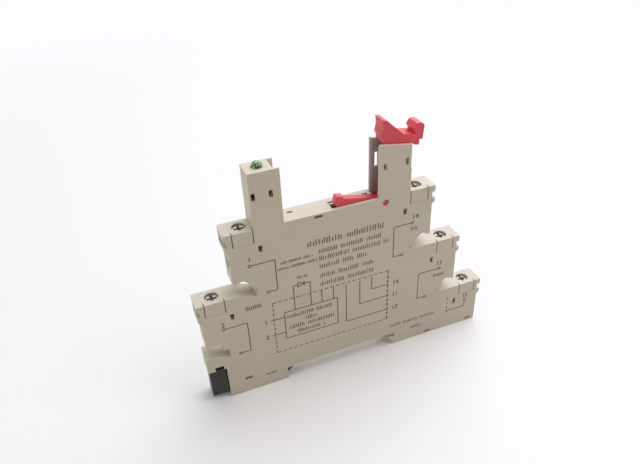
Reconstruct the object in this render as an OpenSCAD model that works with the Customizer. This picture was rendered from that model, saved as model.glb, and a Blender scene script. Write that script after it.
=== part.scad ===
/* [Overall] */
// Thickness of the socket, one place on the rail
module_w = 6.2; // [6.2:0.05:6.4]
// Height of the deck that carries the relay
deck_z = 54.7; // [54.4:0.1:55.4]
// Height of the top of both posts
post_z = 70; // [69.6:0.1:70.4]
// Drop from one terminal tier to the next
tier_drop = 19.3; // [19.1:0.1:19.5]
// Step outwards from one terminal tier to the next
tier_step = 9.7; // [9.6:0.1:9.9]
// Length of the left block, from the upper nose to the lamp post
left_block_l = 7.75; // [7.7:0.05:7.85]
// Length of the right block, from the lever post to the upper nose
right_block_l = 8; // [7.9:0.05:8.1]

/* [Shell] */
// Thickness of the cover plate
cover_t = 0.9; // [0.8:0.05:0.95]
// Thickness of the far wall of the tray
far_t = 0.8; // [0.7:0.05:0.85]
// Thickness of inner walls, end walls and the deck
wall_t = 0.9; // [0.8:0.05:1]
// Inset of the end walls behind the terminal noses
nose_in = 0.8; // [0.6:0.05:0.9]

/* [Relay bay] */
// Length of the relay that plugs in
relay_l = 28; // [27.8:0.1:28.2]
// Width of the relay
relay_w = 5; // [4.8:0.05:5]
// Distance of the row of pins behind the middle plane
pin_y = 1; // [0.9:0.05:1.05]
// Length of the lamp post, from its left side to the relay
lamp_post_l = 6.65; // [6.6:0.05:6.7]
// Length of the lever post, from the relay to its right side
lever_post_l = 9.1; // [9:0.05:9.2]
// Height of the step in the end wall of the lever post
lever_post_step_z = 61.7; // [60:0.1:62.2]

/* [Terminals] */
// Distance of each screw from the tip of its nose
screw_in = 4.9; // [4.8:0.05:5]
// Diameter of the screwdriver hole
hole_d = 3.7; // [3.5:0.05:3.8]
// Diameter of the screw head
head_d = 4.1; // [4:0.05:4.15]
// Diameter of the screw thread
thread_d = 2.6; // [2.4:0.05:2.7]
// Thread pitch of the terminal screws
thread_pitch = 0.5; // [0.45:0.05:0.5]
// Length of the clamp cage along the wire
cage_l = 5; // [4.8:0.1:5.1]
// Height of the clamp cage
cage_h = 6; // [5.8:0.1:6.1]

/* [Ejector lever] */
// Distance of the lever pivot from the end of the relay
pivot_in = 2; // [1.9:0.05:2.1]
// Height of the lever pivot
pivot_z = 53; // [52.9:0.05:53.1]
// Angle at which the lever stands open
lever_open = 12; // [0:1:17]
// Diameter of the lever trunnions
trunnion_d = 1.8; // [1.7:0.05:2.1]
// Width of the lever handle
lever_w = 4.2; // [4:0.05:4.3]

/* [Rail clip] */
// Width of the rail recess, for a 35 mm rail with play
rail_slot = 35.5; // [35.3:0.05:35.7]
// Distance of the rail recess from the left end
rail_in = 22.9; // [22.8:0.1:23]
// Height of the roof of the rail recess
rail_z = 4.5; // [4.4:0.05:4.6]
// Reach of the sliding tooth under the rail
tooth_reach = 1.9; // [1.6:0.1:2]
// Travel of the rail clip
clip_travel = 2.2; // [2:0.05:2.2]

/* [Hidden] */
$fn = 64;

// Overrun of a cut past the face it opens
over = 0.5;
// Play between parts that slide or drop in
play = 0.1;
side_play = 0.15;
cell_play = 0.3;
// Planes through the thickness
near_y = -module_w / 2;
far_y = module_w / 2;
cover_y = near_y + cover_t;
floor_y = far_y - far_t;

// Places along the length, from the left end
overall_l = 3 * tier_step + left_block_l + lamp_post_l + relay_l + lever_post_l + right_block_l;
half_l = overall_l / 2;
lamp_post_x = -half_l + tier_step + left_block_l;
relay_x = lamp_post_x + lamp_post_l;
relay_end = relay_x + relay_l;
lever_post_end = relay_end + lever_post_l;
lamp_post_wrap = 1.4;
lever_post_wrap = 0.25;
lamp_post_end = relay_x + lamp_post_wrap;
lever_post_x = relay_end - lever_post_wrap;
pivot_x = relay_end + pivot_in;
rail_x = -half_l + rail_in;
rail_end = rail_x + rail_slot;

// A terminal is the tip of its nose, its top, and the side that it faces
terminal_a1 = [-half_l + tier_step, deck_z, -1];
terminal_a2 = [-half_l, deck_z - tier_drop, -1];
terminal_14 = [half_l - 2 * tier_step, deck_z, 1];
terminal_11 = [half_l - tier_step, deck_z - tier_drop, 1];
terminal_12 = [half_l, deck_z - 2 * tier_drop, 1];
TERMINALS = [terminal_a1, terminal_a2, terminal_14, terminal_11, terminal_12];
function core_x(t) = t[0] - t[2] * (nose_in + wall_t / 2);
function screw_x(t) = t[0] - t[2] * screw_in;

// Nose and end wall of a terminal, depths below its top
hood_h = 1.9;
lip_top = 3.7;
lip_low = 5.1;
lip_slope_share = 0.75;
slot_far_y = 2;
bite_in = nose_in + play;

// Screw, cage and cell, depths below the top of the terminal
chamber_top = 0.5;
chamber_end = 2.8;
chamber_d = head_d + 2 * play;
head_top = chamber_top + play;
head_end = chamber_end - play;
neck_end = 4.1;
neck_d = thread_d + 2 * play;
shank_end = 7.6;
tab_top = 7.8;
tab_t = 0.7;
tab_near_y = -1.1;
tab_far_y = 1.2;
strip_h = 1;
cage_top = 6.45;
cage_plate = 1.1;
cage_base = 0.9;
cage_side = 0.6;
cage_gap = 0.2;
cell_end = 12.75;
cell_half = cage_l / 2 + cell_play;
thread_fit = 0.05;
thread_shares = [0.2, 0.6, 0.8];
wire_top = 8.3;
wire_end = 11.8;
wire_half_w = 1.7;
wire_flare = 0.4;
driver_slot_w = 0.7;
driver_slot_d = 1.1;
cross_l = 2.6;
edge_cut = 0.4;

// Tongue and latch window beside each screw
tongue_half = 2.7;
tongue_slit = 0.3;
tongue_h = 4;
tongue_depth = 1.2;
latch_in = 4.2;
latch_w = 1.05;
latch_top = 5.05;
latch_h = 2.1;

// Nib that stands in a latch window, and the pocket behind it
nib_h_share = 0.25;
nib_depth = 0.3;
nib_root = 1.3;
pocket_t = 2.2;
latch_block_t = 1.6;
latch_rim = 0.4;

// Notch under each upper tier, for a plug-in bridge
notch_lip_h = 3.6;
notch_roof_h = 4.6;
notch_roof_in = 2.4;
notch_fall_in = 3.6;
notch_fall_h = 4;
notch_toe_in = 5.2;
notch_toe_h = 1.6;
notch_end_in = 6.6;
notch_end_h = 1;
notch_floor_in = 6.4;
dip_in = 1.3;
dip_end_in = 5.7;
dip_h = 1.6;
dip_wall = 1.1;
foot_notch_in = 1.7;
foot_notch_back = 4.6;
foot_notch_h = 4.4;
foot_notch_step = 2;
foot_dip_in = 6.2;
foot_dip = 1.2;

// Foot block at the left, over the rail clip
foot_top = 16.4;
foot_brow = 11.3;
foot_waist = 7.3;
foot_inset = 0.4;
foot_rise = 1.5;
foot_toe = 9.9;

// Fixed hook at the right of the rail recess
hook_reach = 2;
hook_top = 3.05;
hook_tip = 2.7;
hook_lead = 0.4;

// Lands at both ends of the recess that rest on the rail
land_l = 2.2;
land_h = 0.3;

// Deck, pins and contacts
deck_low = deck_z - wall_t;
coil_shares = [0.025, 0.1536];
contact_pin_in = 2.4;
contact_pitch_share = 0.1786;
coil_pins = [for (share = coil_shares) relay_x + share * relay_l];
contact_pins = [for (i = [2, 1, 0])
    relay_end - contact_pin_in - i * contact_pitch_share * relay_l];
pin_slot_l = 1.5;
pin_slot_w = 0.9;
strip_t = 0.5;
strip_near_y = pin_y - strip_t / 2;
strip_far_y = pin_y + strip_t / 2;
fork_w = 2;
fork_gap = 0.5;
fork_mouth = 0.9;
fork_slot_h = 4;
fork_base_h = 1.6;
fork_top = deck_low - cell_play;
fork_slot_end = fork_top - fork_slot_h;
fork_base = fork_slot_end - fork_base_h;

// Bays inside the tray
barrier_in = 2.3;
barrier_x = contact_pins[0] - barrier_in;
board_bay_in = 1.45;
board_bay_x = lamp_post_x + board_bay_in;
board_bay_rise = 2.5;
board_bay_low = rail_z + board_bay_rise;
contact_bay_low = rail_z + wall_t;
contact_bay_in = 0.8;
contact_bay_end = rail_end + contact_bay_in;
lamp_bay_in = 1.7;
lamp_bay_end = relay_x - lamp_bay_in;
lever_bay_in = 0.6;
lever_bay_x = relay_end - lever_bay_in;
lever_bay_wall = 0.7;
lever_bay_drop = 2.8;
lever_bay_low = pivot_z - lever_bay_drop;
lever_wall_drop = 4.2;
lever_wall_z = post_z - lever_wall_drop;
channel_x = relay_x - play;

// Circuit board
board_t = 1;
board_side = 0.2;
board_foot = 1;
board_head = 7.4;
board_near_y = strip_far_y;
board_x = board_bay_x + board_side;
board_end = barrier_x - wall_t / 2 - cell_play;
board_low = board_bay_low + board_foot;
board_top = deck_low - board_head;
ear_drop = 9;
ear_end = lamp_bay_end - board_side;
ear_top = post_z - ear_drop;
lap = 2.9;
peg_d = 1.6;
peg_in = 1.8;
board_pegs = [[board_end - peg_in, board_top - peg_in], [board_x + peg_in, board_low + peg_in]];

// Lamp
lamp_in = 3.4;
lamp_x = lamp_post_x + lamp_in;
lamp_d = 2.8;
lamp_rise = 1.5;
lamp_top = post_z + lamp_rise;
lamp_flange_drop = 3.6;
lamp_flange_z = post_z - lamp_flange_drop;
lamp_flange_d = 3.1;
lamp_flange_t = 0.9;
lead_d = 0.5;
lead_pitch = 2.54;

// Windows in the cover, each as left, low, right and top
function box_at(x, z, size) = [x, z, x + size[0], z + size[1]];
post_window = [1.05, 2.2];
post_window_in = 0.4;
post_window_pitch = 4.5;
post_window_drop = 7.4;
deck_latch = [2.2, 0.8];
deck_latch_in = 9.6;
deck_latch_drop = 1.3;
foot_latch = [2.2, 1];
foot_latch_in = 10;
foot_latch_z = 4.6;
base_slot = [2.1, 0.8];
base_slot_ins = [19.4, 4.3];
base_slot_z = 0.35;
side_window = [0.9, 2.2];
side_window_in = 1.6;
side_window_drop = 7.1;
sight_window = [1.1, 1.7];
sight_window_in = 1.35;
sight_window_drop = 7.2;
far_sight_window = [1.1, 4.2];
far_sight_drop = 8.5;
post_windows = [for (i = [0, 1])
    box_at(lamp_post_x + post_window_in + i * post_window_pitch, post_z - post_window_drop, post_window)];
deck_window = box_at(relay_x + deck_latch_in, deck_z - deck_latch_drop, deck_latch);
foot_window = box_at(-half_l + foot_latch_in, foot_latch_z, foot_latch);
base_slots = [for (x = base_slot_ins) box_at(half_l - x, base_slot_z, base_slot)];
lever_windows = [
    box_at(lever_post_end - side_window_in, post_z - side_window_drop, side_window),
    box_at(lever_post_x + sight_window_in, post_z - sight_window_drop, sight_window)
];
far_window = box_at(lever_post_x + sight_window_in, post_z - far_sight_drop, far_sight_window);
latch_windows = concat(post_windows, [deck_window, foot_window]);
post_corner = 0.35;
lever_post_wide = 0.2;
lever_post_slope = 1.5;

// Ejector lever, in its closed position
handle_l = 12.8;
handle_h = 6.26;
handle_back = 5.7;
handle_rise = 16.14;
handle_root = 2;
handle_x = pivot_x - handle_back;
handle_low = pivot_z + handle_rise;
handle_shares = [
    [0, 1], [0.094, 1], [0.527, 0.457], [0.781, 0.457], [0.805, 0.489], [0.74, 0.673],
    [0.785, 0.912], [0.86, 0.95], [0.927, 0.928], [0.969, 0.84], [0.984, 0.537], [1, 0.265],
    [0.93, 0.243], [0.945, 0], [0.833, 0], [0.828, 0.05], [0.117, 0.05], [0.094, 0.2],
    [0.039, 0.377], [0.047, 0.617]
];
leg_in = 0.4;
leg_w = 1.8;
leg_t = 2.4;
hub_d = 3.4;
arm_slot_y = 0.05;
arm_room = 0.6;
arm_reach = 14.5;
arm_pad_l = 2;
arm_pad_rise = 1.8;
arm_rise = 1.2;
arm_fall = 1.2;
arm_chamfer = 0.7;
arm_near_y = cover_y + side_play;
arm_far_y = arm_slot_y - 2 * play;
arm_tip_x = pivot_x - arm_reach;
arm_tip_end = arm_tip_x + arm_pad_l;
arm_tip_z = pivot_z + arm_pad_rise;
arm_top_z = pivot_z + arm_rise;
arm_low_z = pivot_z - arm_fall;
arm_slot_x = arm_tip_x - arm_room;
arm_slot_low = arm_low_z - arm_room;
lever_near_y = cover_y + side_play;
trunnion_fit = 0.05;
trunnion_inset = 0.4;

// Steel leaf behind the lever, let into the far wall of its post
leaf_t = 0.3;
leaf_l = 4;
leaf_rise = 0.2;
leaf_x = relay_end + 2 * play;
leaf_end = leaf_x + leaf_l;
leaf_low = deck_z + leaf_rise;
function post_top(x) =
    post_z - lever_post_slope * (x - lever_post_x) / (lever_post_end - lever_post_x);

// Rail clip
clip_near_y = -1.9;
clip_far_y = 2;
clip_pad_in = 0.7;
clip_pad_y = near_y + clip_pad_in;
clip_inset = 0.3;
clip_end_x = -half_l + clip_inset;
clip_block_l = 4.8;
clip_block_end = clip_end_x + clip_block_l;
clip_block_top = 11.3;
clip_block_low = 1.5;
clip_head_l = 4.2;
clip_head_end = clip_end_x + clip_head_l;
clip_head_z = 12.7;
clip_notch_in = 1.85;
clip_notch_x = clip_end_x + clip_notch_in;
clip_bar_top = 3.2;
clip_bar_low = 0.9;
clip_bar_raised = 2;
clip_bar_in = 11;
clip_bar_step = clip_end_x + clip_bar_in;
clip_tooth_tip = 2.7;
finger_low = 8.4;
finger_t = 1;
finger_in = 14;
finger_end = clip_end_x + finger_in;
clip_bay_in = 17;
clip_bay_end = clip_end_x + clip_bay_in;
clip_bay_top = clip_head_z + play;
clip_bar_room = 0.4;

// Board parts, with their places as shares of the board
bridge_l = 4.7;
bridge_w = 4;
bridge_t = 1.6;
bridge_share = [0.3, 0.755];
chip_l = 3.2;
chip_w = 1.6;
chip_t = 0.6;
chip_cap = 0.5;
chip_gap = 1;
chip_pitch = 2.6;
dropper_share = [0.25, 0.552];
can_d = 3.2;
can_l = 6.3;
can_lead_half = 0.8;
can_share = [0.738, 0.247];
diode_l = 4.3;
diode_w = 2.6;
diode_t = 2;
diode_share = [0.738, 0.833];
disc_d = 6.5;
disc_t = 2.4;
disc_share = [0.274, 0.312];
lamp_resistor_share = [0.645, 0.315];
foot_l = 1;
foot_w = 1.4;
foot_t = 0.3;
function on_board_at(share) =
    [board_x + share[0] * (board_end - board_x), board_low + share[1] * (board_top - board_low)];

beige = [0.86, 0.83, 0.76];
copper_alloy = [0.8, 0.63, 0.34];

// Draws a flat outline, given in length and height, through the thickness from y0 to y1
module slab(y0, y1) {
    translate([0, y1, 0])
        rotate([90, 0, 0])
            linear_extrude(y1 - y0)
                children();
}

// A flat rectangle given by its corners
module plate(x0, z0, x1, z1) {
    translate([x0, z0])
        square([x1 - x0, z1 - z0]);
}

module window(w, grow = 0) {
    plate(w[0] + grow, w[1] + grow, w[2] - grow, w[3] - grow);
}

// Local frames of a terminal: inwards from the nose tip, and down from the top
module at_terminal(t) {
    translate([t[0], 0, t[1]])
        if (t[2] > 0)
            mirror([1, 0, 0])
                children();
        else
            children();
}

module at_terminal_flat(t) {
    translate([t[0], t[1]])
        if (t[2] > 0)
            mirror([1, 0])
                children();
        else
            children();
}

// Outline of the whole housing

module nose_outline(depth) {
    root = -lip_low - nose_in * lip_slope_share;
    difference() {
        plate(0, -depth, nose_in + wall_t, 0);
        polygon([
            [-over, -lip_low], [-over, -depth - over], [nose_in, -depth - over], [nose_in, root],
            [0, -lip_low]
        ]);
    }
}

module notch_outline() {
    translate([nose_in, -tier_drop])
        polygon([
            [-nose_in - over, 0], [-nose_in - over, notch_lip_h], [0, notch_lip_h],
            [notch_roof_in, notch_roof_h], [notch_fall_in, notch_fall_h],
            [notch_toe_in, notch_toe_h], [notch_end_in, notch_end_h], [notch_floor_in, 0]
        ]);
}

// The floor of the left notch dips towards its inner end
module notch_dip_outline() {
    translate([nose_in, -tier_drop])
        polygon([
            [dip_in, 0], [dip_in + over, over], [notch_floor_in, over], [notch_floor_in, 0],
            [dip_end_in, -dip_h]
        ]);
}

module foot_notch_outline() {
    translate([nose_in - half_l, foot_top])
        polygon([
            [-nose_in - over, 0], [-nose_in - over, notch_lip_h], [0, notch_lip_h],
            [foot_notch_in, foot_notch_h], [foot_notch_back, foot_notch_h],
            [foot_notch_back, foot_notch_step], [notch_end_in, foot_notch_step],
            [foot_dip_in, -foot_dip], [dip_in, 0]
        ]);
}

module foot_outline() {
    polygon([
        [-half_l, foot_top], [-half_l, foot_brow], [-half_l + foot_inset, foot_waist],
        [-half_l + foot_inset, foot_rise], [-half_l + foot_toe, 0], [rail_x + over, 0],
        [rail_x + over, foot_top]
    ]);
}

module rail_outline() {
    polygon([
        [rail_x, -over], [rail_x, rail_z - land_h], [rail_x + land_l, rail_z - land_h],
        [rail_x + land_l, rail_z], [rail_end - land_l, rail_z],
        [rail_end - land_l, rail_z - land_h], [rail_end, rail_z - land_h], [rail_end, hook_top],
        [rail_end - hook_reach, hook_top], [rail_end - hook_reach, hook_tip],
        [rail_end, hook_lead], [rail_end + hook_lead, 0], [rail_end + hook_lead, -over]
    ]);
}

module posts_outline() {
    plate(lamp_post_x, deck_low, lamp_post_end, post_z);
    polygon([
        [lever_post_x, deck_low], [lever_post_end, deck_low],
        [lever_post_end, post_top(lever_post_end)], [lever_post_x, post_z]
    ]);
    plate(lever_post_x, deck_low, lever_post_end + lever_post_wide, lever_post_step_z);
}

module silhouette() {
    difference() {
        union() {
            plate(core_x(terminal_a1), 0, core_x(terminal_14), deck_z);
            plate(core_x(terminal_a2), foot_top - over, core_x(terminal_11), terminal_11[1]);
            plate(rail_x, 0, core_x(terminal_11), terminal_11[1]);
            plate(rail_x, 0, core_x(terminal_12), terminal_12[1]);
            foot_outline();
            posts_outline();
            for (t = TERMINALS)
                at_terminal_flat(t)
                    nose_outline(min(tier_drop, t[1]));
        }
        for (t = [terminal_a1, terminal_14, terminal_11])
            at_terminal_flat(t)
                notch_outline();
        at_terminal_flat(terminal_a1)
            notch_dip_outline();
        foot_notch_outline();
        rail_outline();
    }
}

// Terminal ways in the tray

module tongue_slits(depth, height) {
    for (side = [-1, 1])
        translate([screw_in + side * tongue_half - tongue_slit / 2, near_y - over, -height])
            cube([tongue_slit, depth + over, height + over]);
}

module drop_in_bore(d, top, end) {
    translate([screw_in, 0, -end])
        cylinder(d = d, h = end - top);
    translate([screw_in - d / 2, cover_y - over, -end])
        cube([d, over - cover_y, end - top]);
}

module wire_way() {
    deep = screw_in - cell_half + over;
    intersection() {
        slab(-module_w, module_w)
            polygon([
                [-over, -wire_top + wire_flare], [nose_in, -wire_top + wire_flare],
                [nose_in + wire_flare, -wire_top], [deep, -wire_top], [deep, -wire_end],
                [nose_in + wire_flare, -wire_end], [nose_in, -wire_end - wire_flare],
                [-over, -wire_end - wire_flare]
            ]);
        translate([0, 0, -cell_end])
            linear_extrude(cell_end)
                polygon([
                    [-over, -wire_half_w - wire_flare], [nose_in, -wire_half_w - wire_flare],
                    [nose_in + wire_flare, -wire_half_w], [deep, -wire_half_w],
                    [deep, wire_half_w], [nose_in + wire_flare, wire_half_w],
                    [nose_in, wire_half_w + wire_flare], [-over, wire_half_w + wire_flare]
                ]);
    }
}

module terminal_way() {
    translate([screw_in, 0, -chamber_top - over])
        cylinder(d = hole_d, h = chamber_top + 2 * over);
    drop_in_bore(chamber_d, chamber_top, chamber_end);
    drop_in_bore(neck_d, chamber_top + over, neck_end + over);
    slab(cover_y - over, floor_y)
        plate(screw_in - cell_half, -cell_end, screw_in + cell_half, -neck_end);
    wire_way();
    tongue_slits(tongue_depth, chamber_top);
    slab(cover_y - over, slot_far_y)
        plate(-over, -lip_top, bite_in, -hood_h);
}

// A latch is a nib at the top of a window in the cover, over a pocket in the tray
latch_box = [
    screw_in + latch_in - latch_w / 2, -latch_top - latch_h, screw_in + latch_in + latch_w / 2,
    -latch_top
];

module nib(w) {
    low = w[3] - play - nib_h_share * (w[3] - w[1]);
    slab(cover_y - nib_depth, cover_y + nib_root)
        plate(w[0] + play, low, w[2] - play, w[3] - play);
    slab(cover_y, cover_y + nib_root)
        plate(w[0] + play, low, w[2] - play, w[3] + latch_rim / 2);
}

module terminal_latch_block() {
    slab(cover_y, cover_y + latch_block_t)
        plate(screw_in + cell_half, latch_box[1] - latch_rim, latch_box[2] + latch_rim,
            latch_box[3] + latch_rim);
}

module deck_latch_block() {
    slab(cover_y, cover_y + latch_block_t)
        window(deck_window, -latch_rim);
}

module pockets() {
    slab(cover_y - over, cover_y + pocket_t) {
        for (w = concat(latch_windows, base_slots))
            window(w);
        for (t = TERMINALS)
            at_terminal_flat(t)
                window(latch_box);
    }
}

// Bays inside the tray

module strips(list, grow = 0) {
    for (s = list)
        plate(s[0] - grow, s[1] - grow, s[2] + grow, s[3] + grow);
}

module bays_outline() {
    inner_end = screw_x(terminal_11) - cell_half - wall_t;
    tier_roof = terminal_11[1] - wall_t;
    dip_roof = tier_roof - dip_h - wall_t + dip_wall;
    plate(board_bay_x, board_bay_low, barrier_x - wall_t / 2, deck_low);
    plate(board_bay_x, deck_low - over, lamp_bay_end, post_z - wall_t);
    plate(barrier_x + wall_t / 2, contact_bay_low, lever_bay_x - lever_bay_wall, deck_low);
    plate(barrier_x + wall_t / 2, contact_bay_low, contact_bay_end, lever_bay_low - wall_t);
    plate(contact_bay_end + wall_t, wall_t, inner_end, tier_roof);
    plate(inner_end + wall_t, wall_t, screw_x(terminal_12) - cell_half - wall_t,
        terminal_12[1] - wall_t);
    plate(screw_x(terminal_a2) + cell_half + wall_t, clip_bay_top + wall_t,
        board_bay_x - wall_t, dip_roof);
}

module lever_bay() {
    slab(cover_y - over, floor_y)
        plate(lever_bay_x, lever_bay_low, lever_post_end - wall_t, post_z + over);
    slab(cover_y - over, floor_y)
        plate(lever_bay_x, lever_wall_z, lever_post_end + over, post_z + over);
    slab(cover_y - over, arm_slot_y)
        plate(arm_slot_x, arm_slot_low, lever_bay_x + over, deck_z + over);
    slab(floor_y - over, far_y + over)
        window(far_window);
    slab(floor_y - over, floor_y + leaf_t)
        plate(leaf_x - play, leaf_low - play, leaf_end + play, post_z + over);
}

module relay_space() {
    translate([channel_x, -relay_w / 2 - play / 2, deck_z])
        cube([relay_l + 2 * play, relay_w + play, post_z - deck_z + over]);
}

module clip_bay_outline() {
    plate(-half_l - over, -over, clip_block_end + play, clip_bay_top);
    plate(clip_block_end, clip_bar_top + play, clip_bay_end, clip_bay_top);
    plate(clip_block_end - over, clip_bar_raised - clip_bar_room, clip_bar_step, clip_bar_top + play);
    plate(clip_bar_step - clip_travel - 2 * play, clip_bar_low - play, rail_x + over,
        clip_bar_top + play);
}

// Housing

module housing_tray() {
    all_strips = concat(strips_a1, strips_a2, strips_14, strips_11, strips_12);
    color(beige) {
        difference() {
            slab(cover_y, far_y)
                silhouette();
            slab(cover_y - over, floor_y)
                bays_outline();
            slab(cover_y - over, floor_y)
                difference() {
                    clip_bay_outline();
                    window(foot_window, -latch_rim);
                }
            pockets();
            slab(cover_y - over, strip_far_y + play)
                strips(all_strips, play);
            for (t = TERMINALS)
                at_terminal(t)
                    terminal_way();
            lever_bay();
            relay_space();
            for (x = concat(coil_pins, contact_pins))
                translate([x - pin_slot_l / 2, pin_y - pin_slot_w / 2, deck_low - over])
                    cube([pin_slot_l, pin_slot_w, wall_t + 2 * over]);
            translate([lamp_x, 0, post_z - wall_t - over])
                cylinder(d = lamp_d + play, h = wall_t + 2 * over);
            translate([pivot_x, far_y + over, pivot_z])
                rotate([90, 0, 0])
                    cylinder(d = trunnion_d + 2 * trunnion_fit, h = far_t + 2 * over);
        }
        difference() {
            union() {
                deck_latch_block();
                for (t = TERMINALS)
                    at_terminal(t)
                        terminal_latch_block();
            }
            pockets();
        }
        for (w = latch_windows)
            nib(w);
        for (t = TERMINALS)
            at_terminal(t)
                nib(latch_box);
        for (p = board_pegs)
            translate([p[0], floor_y, p[1]])
                rotate([90, 0, 0])
                    cylinder(d = peg_d, h = floor_y - board_near_y + board_t);
    }
}

module cover_cuts() {
    for (t = TERMINALS)
        at_terminal_flat(t) {
            plate(-over, -lip_top, bite_in, -hood_h);
            window(latch_box);
        }
    for (w = concat(latch_windows, base_slots, lever_windows))
        window(w);
    plate(-half_l - over, -over, clip_block_end + 2 * play, clip_block_top + 2 * play);
    plate(clip_notch_x, clip_block_top, clip_block_end - over, clip_head_z + play);
    translate([lever_post_x, post_z])
        rotate(45)
            square(post_corner * sqrt(2), center = true);
}

module housing_cover() {
    color(beige)
        difference() {
            slab(near_y, cover_y)
                difference() {
                    silhouette();
                    cover_cuts();
                }
            relay_space();
            for (t = TERMINALS)
                at_terminal(t)
                    tongue_slits(cover_t + over, tongue_h);
            translate([pivot_x, cover_y + over, pivot_z])
                rotate([90, 0, 0])
                    cylinder(d = trunnion_d + 2 * trunnion_fit, h = cover_t + 2 * over);
        }
}

// Ejector lever

module handle_outline() {
    translate([handle_x, handle_low])
        polygon([for (s = handle_shares) [s[0] * handle_l, s[1] * handle_h]]);
}

module leg_outline() {
    plate(pivot_x + leg_in, pivot_z, pivot_x + leg_in + leg_w, handle_low + handle_root);
    translate([pivot_x, pivot_z])
        circle(d = hub_d);
}

module arm_outline() {
    polygon([
        [arm_tip_x, arm_tip_z], [arm_tip_end, arm_tip_z], [arm_tip_end, arm_top_z],
        [pivot_x, arm_top_z], [pivot_x, arm_low_z], [arm_tip_x + arm_chamfer, arm_low_z],
        [arm_tip_x, arm_low_z + arm_chamfer]
    ]);
}

module lever_closed() {
    slab(lever_near_y, lever_near_y + lever_w)
        handle_outline();
    slab(lever_near_y, lever_near_y + leg_t)
        leg_outline();
    slab(arm_near_y, arm_far_y)
        arm_outline();
    translate([pivot_x, far_y - trunnion_inset, pivot_z])
        rotate([90, 0, 0])
            cylinder(d = trunnion_d, h = module_w - 2 * trunnion_inset);
}

module ejector_lever() {
    color([0.8, 0.12, 0.18])
        translate([pivot_x, 0, pivot_z])
            rotate([0, lever_open, 0])
                translate([-pivot_x, 0, -pivot_z])
                    lever_closed();
}

// Steel leaf of the lever

module lever_leaf() {
    color([0.4, 0.4, 0.42])
        slab(floor_y, floor_y + leaf_t)
            difference() {
                polygon([
                    [leaf_x, leaf_low], [leaf_end, leaf_low], [leaf_end, post_top(leaf_end)],
                    [leaf_x, post_top(leaf_x)]
                ]);
                window(far_window);
            }
}

// Rail clip

module clip_outline() {
    plate(clip_end_x, clip_block_low, clip_block_end, clip_block_top);
    plate(clip_end_x, clip_block_low, clip_head_end, clip_head_z);
    plate(clip_block_end - over, clip_bar_raised, clip_bar_step, clip_bar_top);
    plate(clip_bar_step - play, clip_bar_low, rail_x - play, clip_bar_top);
    polygon([
        [rail_x - over, clip_bar_top], [rail_x + tooth_reach, clip_bar_top],
        [rail_x + tooth_reach, clip_tooth_tip], [rail_x - play, clip_bar_low],
        [rail_x - over, clip_bar_low]
    ]);
    plate(clip_block_end - over, finger_low, finger_end, finger_low + finger_t);
    plate(finger_end - finger_t, finger_low, finger_end, finger_low + 2 * finger_t);
}

module rail_clip() {
    color([0.16, 0.16, 0.15]) {
        slab(clip_near_y, clip_far_y)
            clip_outline();
        slab(clip_pad_y, clip_near_y)
            plate(clip_end_x, clip_block_low, clip_block_end, clip_block_top);
    }
}

// Circuit board and what it carries

module board_outline() {
    plate(board_x, board_low, board_end, board_top);
    plate(board_x, board_top - over, ear_end, ear_top);
}

module circuit_board() {
    color([0.1, 0.4, 0.2])
        difference() {
            slab(board_near_y, board_near_y + board_t)
                board_outline();
            for (p = board_pegs)
                translate([p[0], floor_y + over, p[1]])
                    rotate([90, 0, 0])
                        cylinder(d = peg_d + play, h = board_t + 3 * over);
        }
}

// A block that stands on the board, with its middle at x and z
module on_board(x, z, l, w, t) {
    translate([x - l / 2, board_near_y - t, z - w / 2])
        cube([l, t, w]);
}

bridge_at = on_board_at(bridge_share);
dropper_at = on_board_at(dropper_share);
can_at = on_board_at(can_share);
diode_at = on_board_at(diode_share);
disc_at = on_board_at(disc_share);
lamp_resistor_at = [
    board_x + lamp_resistor_share[0] * (ear_end - board_x),
    board_top + lamp_resistor_share[1] * (ear_top - board_top)
];

module bridge_rectifier() {
    color([0.14, 0.14, 0.15])
        translate([0, -foot_t, 0])
            on_board(bridge_at[0], bridge_at[1], bridge_l, bridge_w, bridge_t);
    color("silver")
        for (side = [-1, 1], end = [-1, 1])
            on_board(bridge_at[0] + side * (bridge_l + foot_l) / 2,
                bridge_at[1] + end * (bridge_w - foot_w) / 2, foot_l + 2 * play, foot_l, foot_t * 2);
}

module chip(x, z) {
    on_board(x, z, chip_l - 2 * chip_cap, chip_w, chip_t);
    for (side = [-1, 1])
        on_board(x + side * (chip_l - chip_cap) / 2, z, chip_cap, chip_w, chip_t + play / 2);
}

module dropper_resistors() {
    color([0.2, 0.2, 0.2])
        for (row = [0, 1], col = [0, 1, 2])
            chip(dropper_at[0] + col * (chip_l + chip_gap), dropper_at[1] + row * chip_pitch);
}

module smoothing_capacitor() {
    color([0.35, 0.36, 0.4])
        translate([can_at[0], board_near_y - can_d / 2, can_at[1] - can_l / 2])
            cylinder(d = can_d, h = can_l);
    color("silver")
        for (side = [-1, 1])
            on_board(can_at[0] + side * can_lead_half, can_at[1] - (can_l + foot_l) / 2, lead_d,
                foot_l + over, can_d / 2);
}

module flyback_diode() {
    color([0.14, 0.14, 0.15])
        on_board(diode_at[0], diode_at[1], diode_l, diode_w, diode_t);
    color("silver")
        for (side = [-1, 1])
            on_board(diode_at[0] + side * (diode_l + foot_l) / 2, diode_at[1], foot_l + 2 * play,
                foot_w, foot_t);
}

module surge_suppressor() {
    color([0.15, 0.3, 0.6])
        translate([disc_at[0], board_near_y - foot_t, disc_at[1]])
            rotate([90, 0, 0])
                cylinder(d = disc_d, h = disc_t);
    color("silver")
        for (side = [-1, 1])
            on_board(disc_at[0] + side * lead_pitch, disc_at[1], lead_d, lead_d, foot_t + over);
}

module lamp_resistor() {
    color([0.2, 0.2, 0.2])
        translate([lamp_resistor_at[0], 0, lamp_resistor_at[1]])
            rotate([0, 90, 0])
                chip(0, 0);
}

// Lamp

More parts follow.
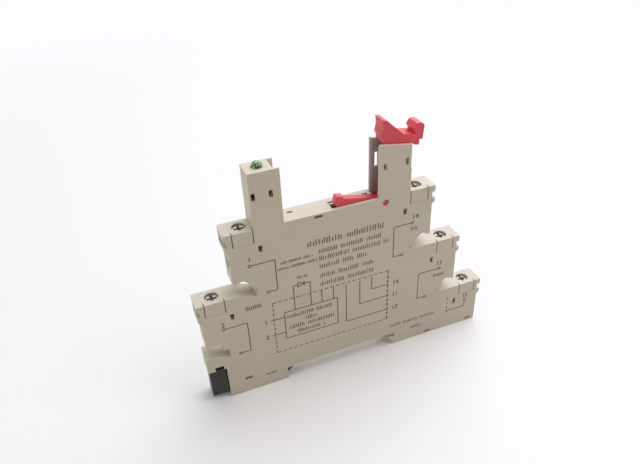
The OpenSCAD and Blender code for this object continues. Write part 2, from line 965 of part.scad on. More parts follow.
module led_lens() {
    color([0.3, 0.85, 0.45])
        translate([lamp_x, 0, 0]) {
            translate([0, 0, lamp_flange_z])
                cylinder(d = lamp_flange_d, h = lamp_flange_t);
            translate([0, 0, lamp_flange_z])
                cylinder(d = lamp_d, h = lamp_top - lamp_d / 2 - lamp_flange_z);
            intersection() {
                translate([0, 0, lamp_top - lamp_d / 2])
                    sphere(d = lamp_d);
                translate([0, 0, lamp_top - lamp_d])
                    cylinder(d = lamp_d, h = lamp_d);
            }
        }
}

module led_leads() {
    lead_y = board_near_y - lead_d / 2;
    color("silver")
        for (side = [-1, 1])
            translate([lamp_x + side * lead_pitch / 2 - lead_d / 2, -lead_d / 2, 0]) {
                translate([0, 0, ear_top + over])
                    cube([lead_d, lead_d, lamp_flange_z - ear_top - over]);
                translate([0, 0, ear_top + over])
                    cube([lead_d, lead_y + lead_d, lead_d]);
                translate([0, lead_y, ear_top - lap])
                    cube([lead_d, lead_d, lap + over + lead_d]);
            }
}

// Contacts and busbars

// A spring fork under the deck, that grips one relay pin
module fork_outline(x) {
    difference() {
        plate(x - fork_w / 2, fork_base, x + fork_w / 2, fork_top);
        plate(x - fork_gap / 2, fork_slot_end, x + fork_gap / 2, fork_top + over);
        polygon([
            [x - fork_gap / 2, fork_top - fork_mouth], [x + fork_gap / 2, fork_top - fork_mouth],
            [x + fork_mouth / 2, fork_top + play], [x - fork_mouth / 2, fork_top + play]
        ]);
    }
}

module coil_contact(x) {
    color(copper_alloy)
        slab(strip_near_y, strip_far_y) {
            fork_outline(x);
            plate(x - strip_h / 2, board_top - lap, x + strip_h / 2, fork_base + over);
        }
}

// The strip of a terminal runs level at the height of its tab, as left, low, right and top
function level(t, x0, x1) = [x0, t[1] - tab_top - strip_h, x1, t[1] - tab_top];
function drop(t, x) = [x - strip_h / 2, t[1] - tab_top - strip_h, x + strip_h / 2, fork_base + over];
function cell_side(t) = screw_x(t) - t[2] * (cell_half + play);
strips_a1 = [level(terminal_a1, cell_side(terminal_a1), board_x + lap),
    [board_x + play, board_top - lap, board_x + lap, terminal_a1[1] - tab_top]];
strips_a2 = [level(terminal_a2, cell_side(terminal_a2), board_x + lap)];
strips_14 = [level(terminal_14, contact_pins[2] - strip_h / 2, cell_side(terminal_14)),
    drop(terminal_14, contact_pins[2])];
strips_11 = [level(terminal_11, contact_pins[1] - strip_h / 2, cell_side(terminal_11)),
    drop(terminal_11, contact_pins[1])];
strips_12 = [level(terminal_12, contact_pins[0] - strip_h / 2, cell_side(terminal_12)),
    drop(terminal_12, contact_pins[0])];

// The tab is the folded end that lies through the cage
module busbar_tab(t) {
    at_terminal(t)
        slab(tab_near_y, tab_far_y)
            plate(screw_in - cell_half + cage_side, -tab_top - tab_t, screw_in + cell_half - play,
                -tab_top);
    at_terminal(t)
        slab(strip_near_y, strip_far_y)
            plate(screw_in, -tab_top - tab_t, screw_in + cell_half + 2 * play, -tab_top);
}

module busbar(t, list, pin_x) {
    color(copper_alloy) {
        slab(strip_near_y, strip_far_y)
            union() {
                strips(list);
                if (pin_x != undef)
                    fork_outline(pin_x);
            }
        busbar_tab(t);
    }
}

// Terminal screw and its rising cage

module thread_profile() {
    turns = floor((shank_end - neck_end) / thread_pitch) - 1;
    root = thread_d / 2 - thread_pitch / 2;
    polygon(concat(
        [[0, 0], [root, 0]],
        [for (i = [0:turns - 1], p = [for (k = [0:2]) [k == 0 ? root : thread_d / 2, thread_shares[k]]])
            [p[0], (i + p[1]) * thread_pitch]],
        [[thread_d / 2, turns * thread_pitch], [thread_d / 2, shank_end - head_end],
            [0, shank_end - head_end]]
    ));
}

module terminal_screw(t) {
    color([0.8, 0.81, 0.82])
        at_terminal(t)
            translate([screw_in, 0, 0])
                difference() {
                    union() {
                        translate([0, 0, -shank_end])
                            rotate_extrude()
                                thread_profile();
                        translate([0, 0, -head_end])
                            cylinder(d = head_d, h = head_end - head_top - edge_cut);
                        translate([0, 0, -head_top - edge_cut])
                            cylinder(d1 = head_d, d2 = head_d - 2 * edge_cut, h = edge_cut);
                    }
                    translate([-driver_slot_w / 2, -head_d, -head_top - driver_slot_d])
                        cube([driver_slot_w, 2 * head_d, driver_slot_d + over]);
                    translate([-cross_l / 2, -driver_slot_w / 2, -head_top - driver_slot_d])
                        cube([cross_l, driver_slot_w, driver_slot_d + over]);
                }
}

module clamp_cage(t) {
    near = cover_y + cage_gap;
    far = floor_y - cage_gap;
    color([0.72, 0.73, 0.74])
        at_terminal(t)
            difference() {
                slab(near, far)
                    plate(screw_in - cage_l / 2, -cage_top - cage_h, screw_in + cage_l / 2, -cage_top);
                slab(near + cage_side, far - cage_side)
                    plate(screw_in - cage_l, -cage_top - cage_h + cage_base, screw_in + cage_l,
                        -cage_top - cage_plate);
                translate([screw_in, 0, -cage_top - cage_plate - over])
                    cylinder(d = thread_d + 2 * thread_fit, h = cage_plate + 2 * over);
            }
}

housing_tray();
housing_cover();
ejector_lever();
lever_leaf();
rail_clip();
circuit_board();
bridge_rectifier();
dropper_resistors();
smoothing_capacitor();
flyback_diode();
surge_suppressor();
lamp_resistor();
led_lens();
led_leads();
coil_contact(coil_pins[0]);  // coil_contact_left
coil_contact(coil_pins[1]);  // coil_contact_right
busbar(terminal_a1, strips_a1);  // busbar_a1
busbar(terminal_a2, strips_a2);  // busbar_a2
busbar(terminal_14, strips_14, contact_pins[2]);  // busbar_14
busbar(terminal_11, strips_11, contact_pins[1]);  // busbar_11
busbar(terminal_12, strips_12, contact_pins[0]);  // busbar_12
terminal_screw(terminal_a1);  // screw_a1
terminal_screw(terminal_a2);  // screw_a2
terminal_screw(terminal_14);  // screw_14
terminal_screw(terminal_11);  // screw_11
terminal_screw(terminal_12);  // screw_12
clamp_cage(terminal_a1);  // cage_a1
clamp_cage(terminal_a2);  // cage_a2
clamp_cage(terminal_14);  // cage_14
clamp_cage(terminal_11);  // cage_11
clamp_cage(terminal_12);  // cage_12
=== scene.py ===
import random
from math import cos, pi, radians, sin
import bpy
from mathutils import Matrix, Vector


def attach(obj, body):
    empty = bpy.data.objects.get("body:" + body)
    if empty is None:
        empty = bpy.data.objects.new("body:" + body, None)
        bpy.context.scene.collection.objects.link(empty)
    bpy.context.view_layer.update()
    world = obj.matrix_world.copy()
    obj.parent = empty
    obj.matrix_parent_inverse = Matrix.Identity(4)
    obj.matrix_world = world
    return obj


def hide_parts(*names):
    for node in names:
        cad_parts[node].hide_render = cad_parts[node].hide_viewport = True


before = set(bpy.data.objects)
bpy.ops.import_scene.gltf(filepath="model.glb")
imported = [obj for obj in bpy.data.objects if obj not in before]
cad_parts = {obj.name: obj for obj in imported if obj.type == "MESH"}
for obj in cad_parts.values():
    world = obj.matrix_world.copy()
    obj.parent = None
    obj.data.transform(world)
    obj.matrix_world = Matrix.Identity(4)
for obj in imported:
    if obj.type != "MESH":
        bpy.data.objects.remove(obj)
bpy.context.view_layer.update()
MM = 0.001


# Housing: a tray and a near side cover, both moulded in matt beige plastic and snapped together.
# Each is taken from its solid, with the small edge radius that a steel mould leaves. The cover has
# a hinge groove at the foot of each terminal tongue, and the tray has marks from ejector pins.

# In millimetres, across and up from the middle of the feet. The outer faces of the cover and the
# tray are SIDE_FACE from the middle.
SIDE_FACE = 3.1
SCREW_PLACES = ((-29.7, 54.7), (-39.4, 35.4), (20, 54.7), (29.7, 35.4), (39.4, 16.1))
TONGUE_WIDTH = 5.4
TONGUE_HEIGHT = 4
GROOVE_DEPTH = 0.12
GROOVE_HEIGHT = 0.14
PIN_MARKS = ((-35, 20), (-24, 47), (-13, 14), (-8, 38), (12, 26), (18, 45), (27, 12))
PIN_RADIUS = 1.3
PIN_DEPTH = 0.2
MERGED_WITHIN = 0.002
# In degrees. Round shapes turn by less than TRUE_EDGE from one flat to the next, and so only true
# edges are rounded. Faces that turn by less than SHADED_AS_ONE are shaded as one.
TRUE_EDGE = 11.5
SHADED_AS_ONE = 50


def only(piece):
    """Makes one object the only one that is selected."""
    bpy.ops.object.select_all(action="DESELECT")
    piece.select_set(True)
    bpy.context.view_layer.objects.active = piece


def finish_modifier(piece, modifier):
    """Applies a modifier to its piece."""
    only(piece)
    bpy.ops.object.modifier_apply(modifier=modifier.name)


def take_solid(node, name):
    """A copy of a node's solid, with its loose triangles merged."""
    piece = bpy.data.objects.new(name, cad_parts[node].data.copy())
    bpy.context.scene.collection.objects.link(piece)
    only(piece)
    bpy.ops.object.mode_set(mode="EDIT")
    bpy.ops.mesh.select_all(action="SELECT")
    bpy.ops.mesh.remove_doubles(threshold=MERGED_WITHIN * MM)
    bpy.ops.object.mode_set(mode="OBJECT")
    return piece


def round_edges(piece, radius, steps=2):
    """Gives every true edge a small radius, in millimetres, and keeps the flat faces flat."""
    bevel = piece.modifiers.new("edge radius", "BEVEL")
    bevel.width = radius * MM
    bevel.segments = steps
    bevel.limit_method = "ANGLE"
    bevel.angle_limit = radians(TRUE_EDGE)
    bevel.miter_outer = "MITER_ARC"
    finish_modifier(piece, bevel)
    bpy.ops.object.shade_smooth_by_angle(angle=radians(SHADED_AS_ONE))
    normals = piece.modifiers.new("flat faces", "WEIGHTED_NORMAL")
    normals.keep_sharp = True
    normals.weight = 100
    finish_modifier(piece, normals)


def dress(piece, finish, body, node):
    """Gives a piece its material and its place in the assembly."""
    piece.data.materials.clear()
    piece.data.materials.append(finish)
    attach(piece, body)
    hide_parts(node)


def cut_away(piece, cutter):
    """Cuts one piece's shape out of another."""
    cut = piece.modifiers.new("cut", "BOOLEAN")
    cut.object = cutter
    cut.solver = "EXACT"
    finish_modifier(piece, cut)
    bpy.data.objects.remove(cutter)


def groove_cutter(across, up):
    """A thin bar half sunk in the cover's face, with its middle at the place given."""
    bpy.ops.object.select_all(action="DESELECT")
    bpy.ops.mesh.primitive_cube_add(
        size=1, location=(across * MM, -SIDE_FACE * MM, up * MM),
        scale=(TONGUE_WIDTH * MM, 2 * GROOVE_DEPTH * MM, GROOVE_HEIGHT * MM))
    return bpy.context.object


def pin_cutter(across, up):
    """A disc half sunk in the far wall's face, with its middle at the place given."""
    bpy.ops.object.select_all(action="DESELECT")
    bpy.ops.mesh.primitive_cylinder_add(
        vertices=40, radius=PIN_RADIUS * MM, depth=2 * PIN_DEPTH * MM,
        location=(across * MM, SIDE_FACE * MM, up * MM), rotation=(pi / 2, 0, 0))
    return bpy.context.object


def material(name):
    """A new node material, with its shader and its object coordinates."""
    made = bpy.data.materials.new(name)
    made.use_nodes = True
    tree = made.node_tree
    place = tree.nodes.new("ShaderNodeTexCoord").outputs["Object"]
    return made, tree, tree.nodes["Principled BSDF"], place


def noise(tree, place, scale, detail=4, roughness=0.6):
    """A noise pattern of the given scale, per metre."""
    node = tree.nodes.new("ShaderNodeTexNoise")
    node.inputs["Scale"].default_value = scale
    node.inputs["Detail"].default_value = detail
    node.inputs["Roughness"].default_value = roughness
    tree.links.new(place, node.inputs["Vector"])
    return node.outputs["Fac"]


def ramp(tree, source, stops):
    """Maps a value to colours at the given places."""
    node = tree.nodes.new("ShaderNodeValToRGB")
    while len(node.color_ramp.elements) < len(stops):
        node.color_ramp.elements.new(0.5)
    for element, (at, colour) in zip(node.color_ramp.elements, stops):
        element.position = at
        element.color = (*colour, 1)
    tree.links.new(source, node.inputs["Fac"])
    return node.outputs["Color"]


def between(tree, pattern, low, high):
    """Colours that wander from one to another with a pattern."""
    return ramp(tree, pattern, [(0.3, low), (0.7, high)])


def uneven_gloss(tree, pattern, shader, lowest, highest):
    """Lets the roughness wander from one value to another with a pattern."""
    shade = between(tree, pattern, (lowest,) * 3, (highest,) * 3)
    tree.links.new(shade, shader.inputs["Roughness"])


def bump(tree, shader, height, distance, strength):
    """Raises the surface by a pattern, by a distance in millimetres."""
    node = tree.nodes.new("ShaderNodeBump")
    node.inputs["Distance"].default_value = distance * MM
    node.inputs["Strength"].default_value = strength
    tree.links.new(height, node.inputs["Height"])
    tree.links.new(node.outputs["Normal"], shader.inputs["Normal"])


def moulded_plastic(name, low, high, rough):
    """Plastic from a spark-eroded mould: fine grain, slight flow marks and uneven gloss."""
    made, tree, shader, place = material(name)
    flow = noise(tree, place, scale=90, detail=3)
    tree.links.new(between(tree, flow, low, high), shader.inputs["Base Color"])
    uneven_gloss(tree, noise(tree, place, scale=300), shader, *rough)
    grain = noise(tree, place, scale=5200, detail=3, roughness=0.7)
    bump(tree, shader, grain, distance=0.02, strength=0.5)
    return made


housing_plastic = moulded_plastic("housing_plastic", low=(0.665, 0.61, 0.495),
                                  high=(0.705, 0.65, 0.535), rough=(0.42, 0.55))
cover = take_solid("housing_cover", "housing_cover_moulding")
for across, up in SCREW_PLACES:
    cut_away(cover, groove_cutter(across, up - TONGUE_HEIGHT))
tray = take_solid("housing_tray", "housing_tray_moulding")
for across, up in PIN_MARKS:
    cut_away(tray, pin_cutter(across, up))
for shell, node in ((cover, "housing_cover"), (tray, "housing_tray")):
    round_edges(shell, radius=0.15)
    dress(shell, housing_plastic, "housing", node)


# Ejector lever: the handle, the leg and the arm that lifts the relay, in one moulding of satin red
# plastic. It turns on two short trunnions, which snap into holes in the cover and the far wall.

lever_plastic = moulded_plastic("lever_plastic", low=(0.76, 0.07, 0.1),
                                high=(0.86, 0.09, 0.125), rough=(0.3, 0.42))
lever = take_solid("ejector_lever", "ejector_lever_moulding")
round_edges(lever, radius=0.18, steps=3)
dress(lever, lever_plastic, "lever", "ejector_lever")


# Rail clip: a sliding foot with a tooth that grips the rail's edge, moulded in black plastic.
# It is pushed into the end of the housing, where it slides, and a snap finger holds it.

clip_plastic = moulded_plastic("clip_plastic", low=(0.02, 0.02, 0.017),
                               high=(0.032, 0.032, 0.028), rough=(0.42, 0.55))
clip = take_solid("rail_clip", "rail_clip_moulding")
round_edges(clip, radius=0.12)
dress(clip, clip_plastic, "clip", "rail_clip")


# Terminal screws and clamp cages: one of each to a terminal, in zinc-plated steel. The screw is
# turned, with a combined slot and cross, and sits under its screwdriver hole. The cage is stamped
# and folded, and rises on the screw to clamp the wire.

def plated_steel(name, low, high, rough, metallic=1):
    """Plate over turned, stamped or drawn metal, with slight clouds and uneven gloss."""
    made, tree, shader, place = material(name)
    cloud = noise(tree, place, scale=700)
    tree.links.new(between(tree, cloud, low, high), shader.inputs["Base Color"])
    shader.inputs["Metallic"].default_value = metallic
    uneven_gloss(tree, noise(tree, place, scale=2400, detail=3), shader, *rough)
    grain = noise(tree, place, scale=3800, detail=2)
    bump(tree, shader, grain, distance=0.01, strength=0.6)
    return made


screw_steel = plated_steel("screw_steel", low=(0.3, 0.29, 0.27), high=(0.48, 0.45, 0.41),
                           rough=(0.5, 0.65))
cage_steel = plated_steel("cage_steel", low=(0.5, 0.5, 0.49), high=(0.66, 0.66, 0.65),
                          rough=(0.18, 0.34))
terminals = [name[len("screw_"):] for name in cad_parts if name.startswith("screw_")]
for terminal in terminals:
    screw = take_solid("screw_" + terminal, "screw_" + terminal + "_turned")
    round_edges(screw, radius=0.05)
    dress(screw, screw_steel, "screw_" + terminal, "screw_" + terminal)
    cage = take_solid("cage_" + terminal, "cage_" + terminal + "_stamped")
    round_edges(cage, radius=0.08)
    dress(cage, cage_steel, "cage_" + terminal, "cage_" + terminal)


# Lever leaf: a slotted strip of dull spring steel, stamped and let into the far wall of the
# lever's post, where it stands behind the lever.
# Its dark grey is painted shade, for the shade that falls on the far wall's inner face behind the
# lever.

# The strip's dark grey colour is painted shade for the shaded far wall of the post.
leaf_painted_shade = plated_steel("leaf_painted_shade", low=(0.4, 0.39, 0.4), high=(0.55, 0.535, 0.55),
                          rough=(0.5, 0.65), metallic=0.5)
leaf = take_solid("lever_leaf", "lever_leaf_strip")
round_edges(leaf, radius=0.04)
dress(leaf, leaf_painted_shade, "housing", "lever_leaf")


# Lamp lens: the 3 mm body of a light-emitting diode, cast in green resin with a domed top.
# It stands in the hole in the left post. Its colour has pale and dark patches, painted reflections
# from inside the resin.

LENS_PAINTED_REFLECTIONS = ((0.42, (0.01, 0.05, 0.01)), (0.5, (0.08, 0.2, 0.06)), (0.58, (0.42, 0.62, 0.36)))

lens_plastic, tree, shader, place = material("lens_plastic")
# The pale and dark patches in the base colour are painted reflections.
painted_reflections = noise(tree, place, scale=1900, detail=2)
tree.links.new(ramp(tree, painted_reflections, LENS_PAINTED_REFLECTIONS), shader.inputs["Base Color"])
shader.inputs["Roughness"].default_value = 0.22
shader.inputs["Subsurface Weight"].default_value = 0.3
shader.inputs["Subsurface Radius"].default_value = (0.4 * MM, 1.2 * MM, 0.5 * MM)
lens = take_solid("led_lens", "led_lens_moulding")
round_edges(lens, radius=0.05)
dress(lens, lens_plastic, "housing", "led_lens")


# Circuit board: green laminate with its parts soldered on, held upright inside the tray.
# Each part is a bought piece, moulded in epoxy, glazed, sleeved or dipped, and so each has a
# finish of its own.

def coated(name, low, high, scale, rough, grain=0.01):
    """A moulded, dipped or glazed coat with slight unevenness, and its grain in millimetres."""
    made, tree, shader, place = material(name)
    cloud = noise(tree, place, scale)
    tree.links.new(between(tree, cloud, low, high), shader.inputs["Base Color"])
    uneven_gloss(tree, noise(tree, place, scale * 2.5, detail=3), shader, *rough)
    finer = noise(tree, place, scale * 4, detail=3)
    bump(tree, shader, finer, distance=grain, strength=0.5)
    return made


# Node, slot, edge radius in millimetres, and finish, with its two colours, the scale of its
# pattern, its lowest and highest roughness, and its grain.
BOARD_PARTS = (
    ("circuit_board", "board_green", 0.05,
     coated("solder_resist", (0.02, 0.13, 0.045), (0.04, 0.2, 0.07), 420, (0.22, 0.36))),
    ("bridge_rectifier", "epoxy_black", 0.1,
     coated("rectifier_epoxy", (0.018, 0.018, 0.018), (0.035, 0.034, 0.033), 2600, (0.45, 0.6))),
    ("dropper_resistors", "chip_black", 0.05,
     coated("resistor_glaze", (0.02, 0.02, 0.022), (0.04, 0.04, 0.042), 1500, (0.12, 0.22),
            0.004)),
    ("smoothing_capacitor", "capacitor_sleeve", 0.2,
     coated("shrunk_sleeve", (0.05, 0.055, 0.08), (0.08, 0.085, 0.12), 800, (0.2, 0.32))),
    ("flyback_diode", "epoxy_black", 0.08,
     coated("diode_epoxy", (0.02, 0.02, 0.02), (0.04, 0.038, 0.036), 2600, (0.4, 0.55))),
    ("surge_suppressor", "varistor_blue", 0.25,
     coated("dipped_coat", (0.025, 0.1, 0.34), (0.045, 0.15, 0.46), 600, (0.25, 0.4), 0.03)),
    ("lamp_resistor", "chip_black", 0.05,
     coated("lamp_resistor_glaze", (0.02, 0.02, 0.022), (0.045, 0.045, 0.045), 1500,
            (0.12, 0.22), 0.004)))
for node, slot, radius, finish in BOARD_PARTS:
    part = take_solid(node, node + "_body")
    round_edges(part, radius)
    dress(part, finish, "housing", node)


# Lamp leads: two tinned wires, bent to run down inside the left post from the lens to the board,
# where they are soldered.

tinned_wire = plated_steel("tinned_wire", low=(0.6, 0.6, 0.59), high=(0.78, 0.78, 0.76),
                           rough=(0.22, 0.36))
leads = take_solid("led_leads", "led_leads_wire")
round_edges(leads, radius=0.04)
dress(leads, tinned_wire, "housing", "led_leads")


# Contacts: brass strip, stamped and folded. Busbars run from the terminals to the board and to the
# relay's pins, and the coil contacts stand on the board. Ribs in the tray hold them.

contact_brass = plated_steel("contact_brass", low=(0.66, 0.46, 0.17), high=(0.82, 0.62, 0.28),
                             rough=(0.24, 0.4))
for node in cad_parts:
    if node.startswith(("busbar_", "coil_contact_")):
        strip = take_solid(node, node + "_strip")
        round_edges(strip, radius=0.05)
        dress(strip, contact_brass, "housing", node)


# Side print: grey-brown ink pressed onto the cover from a pad, a few thousandths of a millimetre
# thick. It carries plain terminal numbers, a plain wiring diagram and rows of plain ticks. Each is
# placed in millimetres, across and up on the cover.

INK_HEIGHT = 0.008
INK_DARK = (0.13, 0.085, 0.055)
INK_PALE = (0.24, 0.17, 0.115)
# A digit's height as a share of the font's size, and how far its ink spreads on each side.
DIGIT_SHARE = 0.7
DIGIT_SPREAD = 0.04

ink, tree, shader, place = material("ink")
tree.links.new(between(tree, noise(tree, place, scale=1400), INK_DARK, INK_PALE),
               shader.inputs["Base Color"])
shader.inputs["Roughness"].default_value = 0.7


def print_piece(piece, flatness=1.0):
    """Makes a drawn piece a mesh, and sets it on the outside of the cover."""
    only(piece)
    bpy.ops.object.convert(target="MESH")
    piece.scale.y = flatness
    piece.location.y = -SIDE_FACE * MM
    bpy.ops.object.transform_apply(location=True, rotation=True, scale=True)
    piece.data.materials.clear()
    piece.data.materials.append(ink)
    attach(piece, "housing")


def print_lines(name, strokes, width):
    """Inks straight strokes, each given by the places of its two ends."""
    pen = bpy.data.curves.new(name, "CURVE")
    pen.dimensions = "3D"
    pen.bevel_depth = width / 2 * MM
    pen.bevel_resolution = 0
    pen.use_fill_caps = True
    for ends in strokes:
        line = pen.splines.new("POLY")
        line.points.add(1)
        for point, (across, up) in zip(line.points, ends):
            point.co = (across * MM, 0, up * MM, 1)
    piece = bpy.data.objects.new(name, pen)
    bpy.context.scene.collection.objects.link(piece)
    print_piece(piece, 2 * INK_HEIGHT / width)


def print_number(number, across, up, height):
    """Inks a plain number, with its lower left corner at the place given."""
    bpy.ops.object.text_add()
    piece = bpy.context.object
    # The name's place is counted from 50 mm to the left, so that it has no minus sign.
    piece.name = "number_" + number + "_" + str(round(across + 50)) + "_" + str(round(up))
    piece.data.body = number
    piece.data.size = height / DIGIT_SHARE * MM
    piece.data.extrude = INK_HEIGHT * MM
    piece.data.offset = DIGIT_SPREAD * MM
    piece.rotation_euler.x = pi / 2
    piece.location = (across * MM, 0, up * MM)
    print_piece(piece)


def path(*places):
    """The strokes that join places one after another."""
    return list(zip(places, places[1:]))


def dashed(start, stop, dash=1.1, gap=0.6):
    """The strokes of a dashed line."""
    run = Vector(stop) - Vector(start)
    count = max(1, round((run.length + gap) / (dash + gap)))
    step = run / (count - gap / (dash + gap))
    share = dash / (dash + gap)
    return [(tuple(Vector(start) + step * n), tuple(Vector(start) + step * (n + share)))
            for n in range(count)]


def ring(across, up, radius=0.4, sides=10):
    """The strokes of a small ring, as at the end of a line."""
    turn = [2 * pi * n / sides for n in range(sides + 1)]
    return path(*[(across + radius * cos(a), up + radius * sin(a)) for a in turn])


LEFT_TERMINALS = (
    ring(-28.9, 44.15) + path((-28.5, 44.15), (-22.1, 44.15), (-22.1, 34.3), (-24.4, 34.3))
    + ring(-24.8, 34.3)
    + ring(-38, 25.8) + path((-37.6, 25.8), (-31.5, 25.8), (-31.5, 15.6), (-34.1, 15.6))
    + ring(-34.5, 15.6))
CIRCUIT_BOX = (
    path((-20.9, 15.9), (-20.9, 25.5), (-4.9, 25.5), (-4.9, 15.9), (-20.9, 15.9))
    + path((-17.7, 25.5), (-17.7, 33.9), (-16.4, 33.9)) + path((-14.6, 33.9), (-12.85, 33.9))
    + path((-12.85, 33.9), (-12.85, 25.5))
    + path((-16.4, 33.1), (-16.4, 34.7), (-14.7, 33.9), (-16.4, 33.1))
    + path((-14.6, 33.1), (-14.6, 34.7))
    + path((-9.6, 29.9), (-9.6, 25.5)) + path((-6.1, 29.9), (-6.1, 25.5))
    + path((-25, 23.9), (-20.9, 23.9)) + path((-25, 18.4), (-20.9, 18.4)))
RELAY_CONTACTS = (
    path((-2.2, 29.2), (-2.2, 15.35), (11.1, 15.35))
    + path((2.1, 29.2), (2.1, 20.6), (11.1, 20.6))
    + path((5.9, 29.2), (5.9, 24.9), (11.1, 24.9)))
RIGHT_TERMINALS = (
    path((17.7, 44.4), (12.5, 44.4), (12.5, 34.3), (14.9, 34.3))
    + ring(18.2, 44.4) + ring(15.3, 34.3)
    + path((28, 25.3), (21.35, 25.3), (21.35, 15.75), (23.6, 15.75))
    + ring(28.5, 25.3) + ring(24, 15.75)
    + path((32.6, 6.7), (39.2, 6.7), (39.2, 8.9)) + ring(39.2, 9.3))
print_lines("diagram_lines", LEFT_TERMINALS + CIRCUIT_BOX + RELAY_CONTACTS + RIGHT_TERMINALS,
            width=0.3)
print_lines("diagram_dashes",
            dashed((-24, 29.9), (11.1, 29.9)) + dashed((-24, 11.5), (11.1, 11.5))
            + dashed((-24, 11.5), (-24, 29.9)) + dashed((32.6, 12.4), (32.6, 5.9)), width=0.28)
print_lines("diagram_end_dashes", dashed((11.1, 11.5), (11.1, 29.9)), width=0.45)

# Each number, and its place across and up.
NUMBERS = (("1", -29.3, 45.5), ("2", -38.6, 26.7), ("14", 18, 45.6), ("11", 27.2, 26.6),
           ("12", 38, 10.3), ("1", -26.9, 23.1), ("2", -26.9, 17.6), ("14", 12.6, 24.2),
           ("11", 12.6, 19.8), ("12", 12.6, 14.6))
for number, across, up in NUMBERS:
    print_number(number, across, up, height=1.5)

# The pitch and the heights of the ticks are shares of the row's height. The steps from tick to
# tick, and the gap after a group, are in pitches.
TICK_PITCH = 0.36
TICK_HEIGHTS = (1, 0.9, 0.7)
TICK_STEPS = (1, 1, 1.3)
GROUP_GAP = 1.6
FEWEST_TICKS = 6
MOST_TICKS = 16
PRINT_SEED = 11


def tick_row(first, last, level, height):
    """Plain upright ticks in groups, from one place across to another."""
    pitch = height * TICK_PITCH
    low = level - height / 2
    strokes = []
    across = first
    left = random.randint(FEWEST_TICKS, MOST_TICKS)
    while across < last:
        high = low + height * random.choice(TICK_HEIGHTS)
        strokes.append(((across, low), (across, high)))
        across += pitch * random.choice(TICK_STEPS)
        left -= 1
        if left == 0:
            across += pitch * GROUP_GAP
            left = random.randint(FEWEST_TICKS, MOST_TICKS)
    return strokes


random.seed(PRINT_SEED)
# Each row's first and last place across, its level up, and its height.
LARGE_ROWS = ((-12.8, 10.2, 46.2, 1.9),)
ROWS = ((-9.7, 9.5, 43.1, 1.5), (-9.7, 11.3, 40.7, 1.5), (-9.7, 4.5, 38.1, 1.5),
        (-9.7, 6, 34.9, 1.5), (-9.7, 6.2, 32, 1.5), (-31.3, -27, 30.6, 1.4),
        (-20, -5.9, 23.7, 1.4), (-14.6, -11, 21.6, 1.4), (-19.4, -6.2, 19.6, 1.4),
        (-17.2, -8.6, 17.5, 1.4), (18, 20, 42.5, 1.3), (26.7, 30, 23, 1.1))
SMALL_ROWS = ((-20.6, -11.5, 42.5, 0.8), (-21.6, -10.6, 40.7, 0.8), (-16.4, -13.6, 36.4, 1),
              (12.7, 28, 7.9, 1.2), (20, 23.5, 4.7, 1.1), (-28, -24.5, 4.4, 0.9))
for name, rows, width in (("title_marks", LARGE_ROWS, 0.36), ("row_marks", ROWS, 0.28),
                          ("small_marks", SMALL_ROWS, 0.21)):
    print_lines(name, [tick for row in rows for tick in tick_row(*row)], width)


# Floor: a plain pale sheet with no edge in sight. It has one colour where it is seen, and a greyer
# one where it only throws light on the object. Far from the object, from FADE_START to FADE_END in
# metres, it fades to the same white as the world.

WHITE = (0.97, 0.98, 1)
FLOOR_SEEN = (0.94, 0.935, 0.935)
FLOOR_UNSEEN = (0.56, 0.52, 0.48)
FLOOR_SIZE = 16
FADE_START = 0.12
FADE_END = 0.5


def in_sight(tree):
    """Is 1 for camera, glossy and transmission rays, and 0 for the rays that light the object."""
    rays = tree.nodes.new("ShaderNodeLightPath")
    share = rays.outputs["Is Camera Ray"]
    for kind in ("Is Glossy Ray", "Is Transmission Ray"):
        larger = tree.nodes.new("ShaderNodeMath")
        larger.operation = "MAXIMUM"
        tree.links.new(share, larger.inputs[0])
        tree.links.new(rays.outputs[kind], larger.inputs[1])
        share = larger.outputs[0]
    return share


bpy.ops.mesh.primitive_plane_add(size=FLOOR_SIZE, location=(0, 0, 0))
floor = bpy.context.object
floor.name = "floor"
floor_paint, tree, shader, place = material("floor_paint")
shader.inputs["Roughness"].default_value = 0.9
shader.inputs["Specular IOR Level"].default_value = 0.2
seen = in_sight(tree)
tree.links.new(ramp(tree, seen, [(0, FLOOR_UNSEEN), (1, FLOOR_SEEN)]),
               shader.inputs["Base Color"])
away = tree.nodes.new("ShaderNodeVectorMath")
away.operation = "LENGTH"
tree.links.new(place, away.inputs[0])
fade = tree.nodes.new("ShaderNodeMapRange")
fade.interpolation_type = "SMOOTHSTEP"
fade.inputs["From Min"].default_value = FADE_START
fade.inputs["From Max"].default_value = FADE_END
tree.links.new(away.outputs["Value"], fade.inputs["Value"])
far_and_seen = tree.nodes.new("ShaderNodeMath")
far_and_seen.operation = "MULTIPLY"
tree.links.new(fade.outputs["Result"], far_and_seen.inputs[0])
tree.links.new(seen, far_and_seen.inputs[1])
white = tree.nodes.new("ShaderNodeEmission")
white.inputs["Color"].default_value = (*WHITE, 1)
blend = tree.nodes.new("ShaderNodeMixShader")
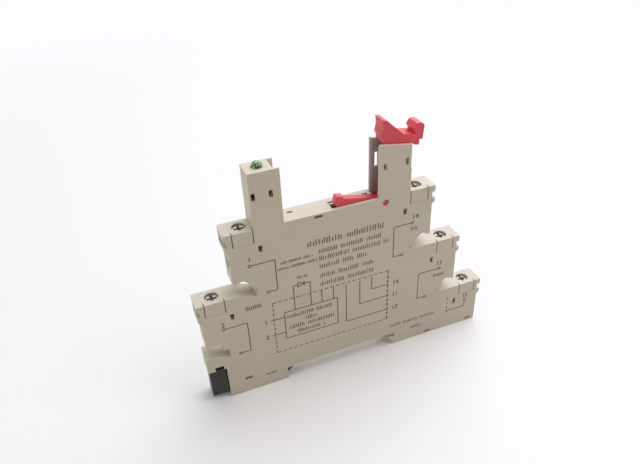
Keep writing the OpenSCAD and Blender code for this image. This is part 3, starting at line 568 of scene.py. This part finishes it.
tree.links.new(far_and_seen.outputs[0], blend.inputs["Fac"])
tree.links.new(shader.outputs[0], blend.inputs[1])
tree.links.new(white.outputs[0], blend.inputs[2])
tree.links.new(blend.outputs[0], tree.nodes["Material Output"].inputs["Surface"])
floor.data.materials.append(floor_paint)


# Room: white where it is seen, and a warm grey as the light that comes from all round. The floor
# and the room together leave no horizon.

ROOM_LIGHT = (0.3, 0.28, 0.255)

world = bpy.data.worlds.new("studio")
world.use_nodes = True
room = world.node_tree
room.links.new(ramp(room, in_sight(room), [(0, ROOM_LIGHT), (1, WHITE)]),
               room.nodes["Background"].inputs["Color"])
bpy.context.scene.world = world


# Lamps: a large cool window above and behind on the right, a weak fill far to the left, and a
# small one in front on the right. Places and sizes are in metres, and powers in watts.

def lamp(name, place, size, power, colour):
    """A soft square lamp that faces the object."""
    data = bpy.data.lights.new(name, "AREA")
    data.size = size
    data.energy = power
    data.color = colour
    made = bpy.data.objects.new(name, data)
    bpy.context.scene.collection.objects.link(made)
    made.location = place
    made.rotation_euler = made.location.to_track_quat("Z", "Y").to_euler()


lamp("window", place=(0.42, 0.25, 0.85), size=1.3, power=11.4, colour=(0.9, 0.915, 1))
lamp("left", place=(-0.85, -0.1, 0.35), size=0.8, power=2, colour=(0.82, 0.98, 0.84))
lamp("front", place=(0.34, -0.25, 0.4), size=0.3, power=0.42, colour=(1, 0.88, 0.96))


# Camera: in front on the left and above, looking down at the cover, at the viewing angle that was
# solved from the straight edges of the housing. Its place is in metres and its turn in degrees.

CAMERA_PLACE = (-0.0537, -0.12187, 0.13367)
CAMERA_TURN = (56.276, 2.183, -21.954)

camera_data = bpy.data.cameras.new("camera")
camera_data.sensor_width = 36
camera_data.lens = 32.98
camera_data.clip_start = 0.01
camera = bpy.data.objects.new("camera", camera_data)
bpy.context.scene.collection.objects.link(camera)
camera.location = CAMERA_PLACE
camera.rotation_euler = [radians(turn) for turn in CAMERA_TURN]
bpy.context.scene.camera = camera
bpy.context.scene.view_settings.view_transform = "Standard"
